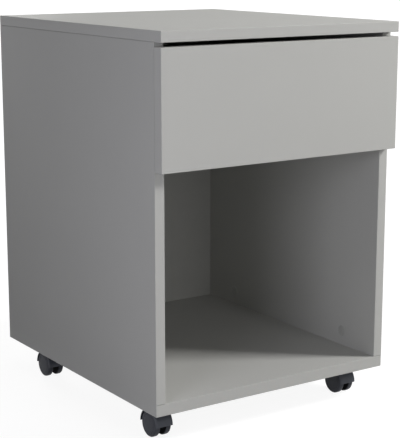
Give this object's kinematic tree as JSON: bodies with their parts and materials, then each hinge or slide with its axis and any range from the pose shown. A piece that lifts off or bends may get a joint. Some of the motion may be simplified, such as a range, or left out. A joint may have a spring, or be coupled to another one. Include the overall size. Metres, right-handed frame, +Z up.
{
  "type": "mobile pedestal",
  "caption": "Low grey office pedestal with a pull-out drawer above an open file compartment, standing on swivelling twin-wheel casters.",
  "frame": {"origin": "on the floor under the middle of the carcass's footprint", "axes": "+Z up, +X to the right as seen from the front, the drawer opens towards -Y"},
  "size_m": [0.43, 0.5, 0.608],
  "materials": {
    "grey_board": "chipboard faced with light grey satin melamine, edges banded in the same grey",
    "grey_hardboard": "thin hardboard with light grey paper face",
    "runner_steel": "folded sheet steel with pale grey epoxy coat",
    "roller_nylon": "off-white nylon",
    "zinc_plate": "zinc-plated pressed steel",
    "caster_housing": "near-black moulded nylon, fine grain",
    "axle_steel": "plain turned steel",
    "caster_wheel": "hard near-black nylon with a worn satin tread"
  },
  "bodies": {
    "carcass": {"top_panel": "grey_board", "bottom_panel": "grey_board", "left_side_panel": "grey_board", "right_side_panel": "grey_board", "middle_shelf": "grey_board", "back_panel": "grey_hardboard", "left_cabinet_runner": "runner_steel", "right_cabinet_runner": "runner_steel", "front_left_plate": "zinc_plate", "front_right_plate": "zinc_plate", "rear_left_plate": "zinc_plate", "rear_right_plate": "zinc_plate"},
    "drawer": {"drawer_front": "grey_board", "left_drawer_side": "grey_board", "right_drawer_side": "grey_board", "drawer_back": "grey_board", "drawer_bottom": "grey_hardboard", "left_drawer_runner": "runner_steel", "right_drawer_runner": "runner_steel"},
    "left_front_roller": {"left_front_roller": "roller_nylon"},
    "left_rear_roller": {"left_rear_roller": "roller_nylon"},
    "right_front_roller": {"right_front_roller": "roller_nylon"},
    "right_rear_roller": {"right_rear_roller": "roller_nylon"},
    "front_left_caster": {"front_left_housing": "caster_housing", "front_left_axle": "axle_steel"},
    "front_left_left_wheel": {"front_left_left_wheel": "caster_wheel"},
    "front_left_right_wheel": {"front_left_right_wheel": "caster_wheel"},
    "front_right_caster": {"front_right_housing": "caster_housing", "front_right_axle": "axle_steel"},
    "front_right_left_wheel": {"front_right_left_wheel": "caster_wheel"},
    "front_right_right_wheel": {"front_right_right_wheel": "caster_wheel"},
    "rear_left_caster": {"rear_left_housing": "caster_housing", "rear_left_axle": "axle_steel"},
    "rear_left_left_wheel": {"rear_left_left_wheel": "caster_wheel"},
    "rear_left_right_wheel": {"rear_left_right_wheel": "caster_wheel"},
    "rear_right_caster": {"rear_right_housing": "caster_housing", "rear_right_axle": "axle_steel"},
    "rear_right_left_wheel": {"rear_right_left_wheel": "caster_wheel"},
    "rear_right_right_wheel": {"rear_right_right_wheel": "caster_wheel"}
  },
  "joints": [
    {"name": "drawer_slide", "type": "slide", "parent": "carcass", "child": "drawer", "axis": [0, -1, 0], "range_m": [0, 0.3395]},
    {"name": "left_front_roller_spin", "type": "hinge", "parent": "carcass", "child": "left_front_roller", "pos_m": [-0.1935, -0.2175, 0.46205], "axis": [1, 0, 0], "continuous": true},
    {"name": "left_rear_roller_spin", "type": "hinge", "parent": "drawer", "child": "left_rear_roller", "pos_m": [-0.192, 0.202, 0.46185], "axis": [1, 0, 0], "continuous": true},
    {"name": "right_front_roller_spin", "type": "hinge", "parent": "carcass", "child": "right_front_roller", "pos_m": [0.1935, -0.2175, 0.46205], "axis": [1, 0, 0], "continuous": true},
    {"name": "right_rear_roller_spin", "type": "hinge", "parent": "drawer", "child": "right_rear_roller", "pos_m": [0.192, 0.202, 0.46185], "axis": [1, 0, 0], "continuous": true},
    {"name": "front_left_swivel", "type": "hinge", "parent": "carcass", "child": "front_left_caster", "pos_m": [-0.1775, -0.1615, 0.05], "axis": [0, 0, 1], "continuous": true},
    {"name": "front_left_left_wheel_spin", "type": "hinge", "parent": "front_left_caster", "child": "front_left_left_wheel", "pos_m": [-0.1775, -0.1715, 0.02], "axis": [1, 0, 0], "continuous": true},
    {"name": "front_left_right_wheel_spin", "type": "hinge", "parent": "front_left_caster", "child": "front_left_right_wheel", "pos_m": [-0.1775, -0.1715, 0.02], "axis": [1, 0, 0], "continuous": true},
    {"name": "front_right_swivel", "type": "hinge", "parent": "carcass", "child": "front_right_caster", "pos_m": [0.1775, -0.1615, 0.05], "axis": [0, 0, 1], "continuous": true},
    {"name": "front_right_left_wheel_spin", "type": "hinge", "parent": "front_right_caster", "child": "front_right_left_wheel", "pos_m": [0.1775, -0.1715, 0.02], "axis": [1, 0, 0], "continuous": true},
    {"name": "front_right_right_wheel_spin", "type": "hinge", "parent": "front_right_caster", "child": "front_right_right_wheel", "pos_m": [0.1775, -0.1715, 0.02], "axis": [1, 0, 0], "continuous": true},
    {"name": "rear_left_swivel", "type": "hinge", "parent": "carcass", "child": "rear_left_caster", "pos_m": [-0.1775, 0.18, 0.05], "axis": [0, 0, 1], "continuous": true},
    {"name": "rear_left_left_wheel_spin", "type": "hinge", "parent": "rear_left_caster", "child": "rear_left_left_wheel", "pos_m": [-0.1775, 0.17, 0.02], "axis": [1, 0, 0], "continuous": true},
    {"name": "rear_left_right_wheel_spin", "type": "hinge", "parent": "rear_left_caster", "child": "rear_left_right_wheel", "pos_m": [-0.1775, 0.17, 0.02], "axis": [1, 0, 0], "continuous": true},
    {"name": "rear_right_swivel", "type": "hinge", "parent": "carcass", "child": "rear_right_caster", "pos_m": [0.1775, 0.18, 0.05], "axis": [0, 0, 1], "continuous": true},
    {"name": "rear_right_left_wheel_spin", "type": "hinge", "parent": "rear_right_caster", "child": "rear_right_left_wheel", "pos_m": [0.1775, 0.17, 0.02], "axis": [1, 0, 0], "continuous": true},
    {"name": "rear_right_right_wheel_spin", "type": "hinge", "parent": "rear_right_caster", "child": "rear_right_right_wheel", "pos_m": [0.1775, 0.17, 0.02], "axis": [1, 0, 0], "continuous": true}
  ],
  "couplings": [
    {"joint": "left_front_roller_spin", "follows": "drawer_slide", "rad_per_m": 117.65},
    {"joint": "left_rear_roller_spin", "follows": "drawer_slide", "rad_per_m": 117.65},
    {"joint": "right_front_roller_spin", "follows": "drawer_slide", "rad_per_m": 117.65},
    {"joint": "right_rear_roller_spin", "follows": "drawer_slide", "rad_per_m": 117.65}
  ]
}
